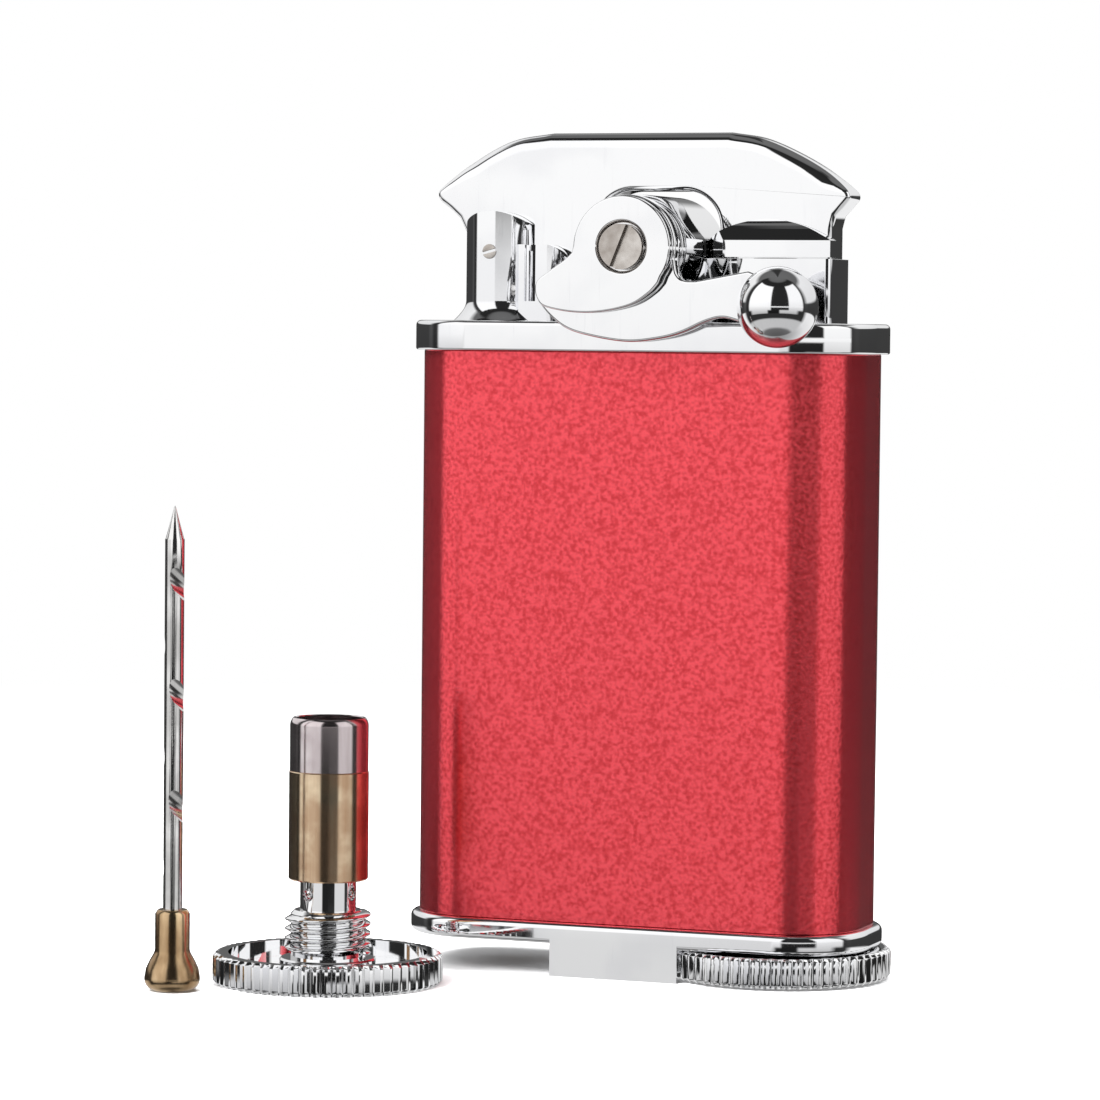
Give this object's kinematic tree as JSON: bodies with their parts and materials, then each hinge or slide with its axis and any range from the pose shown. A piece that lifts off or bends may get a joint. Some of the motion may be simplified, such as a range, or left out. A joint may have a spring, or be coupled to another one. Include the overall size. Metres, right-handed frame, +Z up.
{
  "type": "flint spark lighter",
  "caption": "Lift-arm petrol pipe lighter: red satin body, chrome ends, ball thumb lever, wing-shaped snuffer arm, loose tamper and pick.",
  "frame": {"origin": "middle of the underside of the foot between the two knurled discs, on the surface that the lighter stands on", "axes": "+Z up, -Y is the front face with the lever, +X towards the burner"},
  "size_m": [0.0523, 0.0388, 0.068],
  "materials": {
    "red_sleeve": "satin red lacquer with a fine pebbled grain",
    "chrome": "polished",
    "nickel": "nickel plated, lightly worn",
    "brass": "aged, unlacquered",
    "steel": "turned",
    "tin": "drawn sheet",
    "ferro": "pressed rod",
    "rubber": "matt",
    "cotton": "loose fibre",
    "felt": "pressed felt"
  },
  "bodies": {
    "root": {"body_sleeve": "red_sleeve", "top_plate": "chrome", "base_plate": "chrome", "fuel_tank": "tin", "felt_pad": "felt", "tank_wadding": "cotton", "wick_tube": "brass", "wick": "cotton", "tool_tube": "brass", "flint_tube": "brass", "flint": "ferro", "flint_spring": "steel", "flint_screw": "brass", "hinge_tower": "chrome", "arm_pin": "nickel", "wheel_housing": "chrome", "lever_spring": "steel", "pivot_screw": "nickel", "burner_chimney": "chrome"},
    "snuffer": {"snuffer_arm": "chrome", "snuffer_cap": "chrome", "cap_seal": "felt"},
    "lever": {"thumb_lever": "chrome", "lever_ball": "chrome", "cam_plate": "chrome", "lift_pin": "steel", "drive_disc": "chrome"},
    "wheel": {"flint_wheel": "steel"},
    "filler": {"filler_screw": "chrome", "filler_gasket": "rubber"},
    "tamper": {"tool_base": "chrome", "tamper_barrel": "brass", "tamper_ring": "steel"},
    "pick": {"pick_needle": "steel", "pick_handle": "brass"}
  },
  "joints": [
    {"name": "lever_press", "type": "hinge", "parent": "root", "child": "lever", "pos_m": [0.00105, -0.009, 0.0586], "axis": [0, 1, 0], "range_deg": [0, 50], "stiffness_Nm_per_rad": 0.002, "springref_deg": -17.19},
    {"name": "arm_lift", "type": "hinge", "parent": "root", "child": "snuffer", "pos_m": [-0.0125, 0, 0.0583], "axis": [0, -1, 0], "range_deg": [0, 36.1]},
    {"name": "wheel_spin", "type": "hinge", "parent": "root", "child": "wheel", "pos_m": [0.00105, -0.009, 0.0586], "axis": [0, 1, 0], "range_deg": [0, 50.1]},
    {"name": "filler_turn", "type": "hinge", "parent": "root", "child": "filler", "pos_m": [0.0114, 0, 0.0014], "axis": [0, 0, -1], "range_deg": [0, 90]},
    {"name": "tamper_lift", "type": "slide", "parent": "root", "child": "tamper", "axis": [0, 0, 1], "range_m": [0, 0.04]},
    {"name": "pick_lift", "type": "slide", "parent": "root", "child": "pick", "axis": [0, 0, 1], "range_m": [0, 0.04]}
  ],
  "couplings": [
    {"joint": "arm_lift", "follows": "lever_press", "ratio": 0.72},
    {"joint": "wheel_spin", "follows": "lever_press", "ratio": 1}
  ]
}
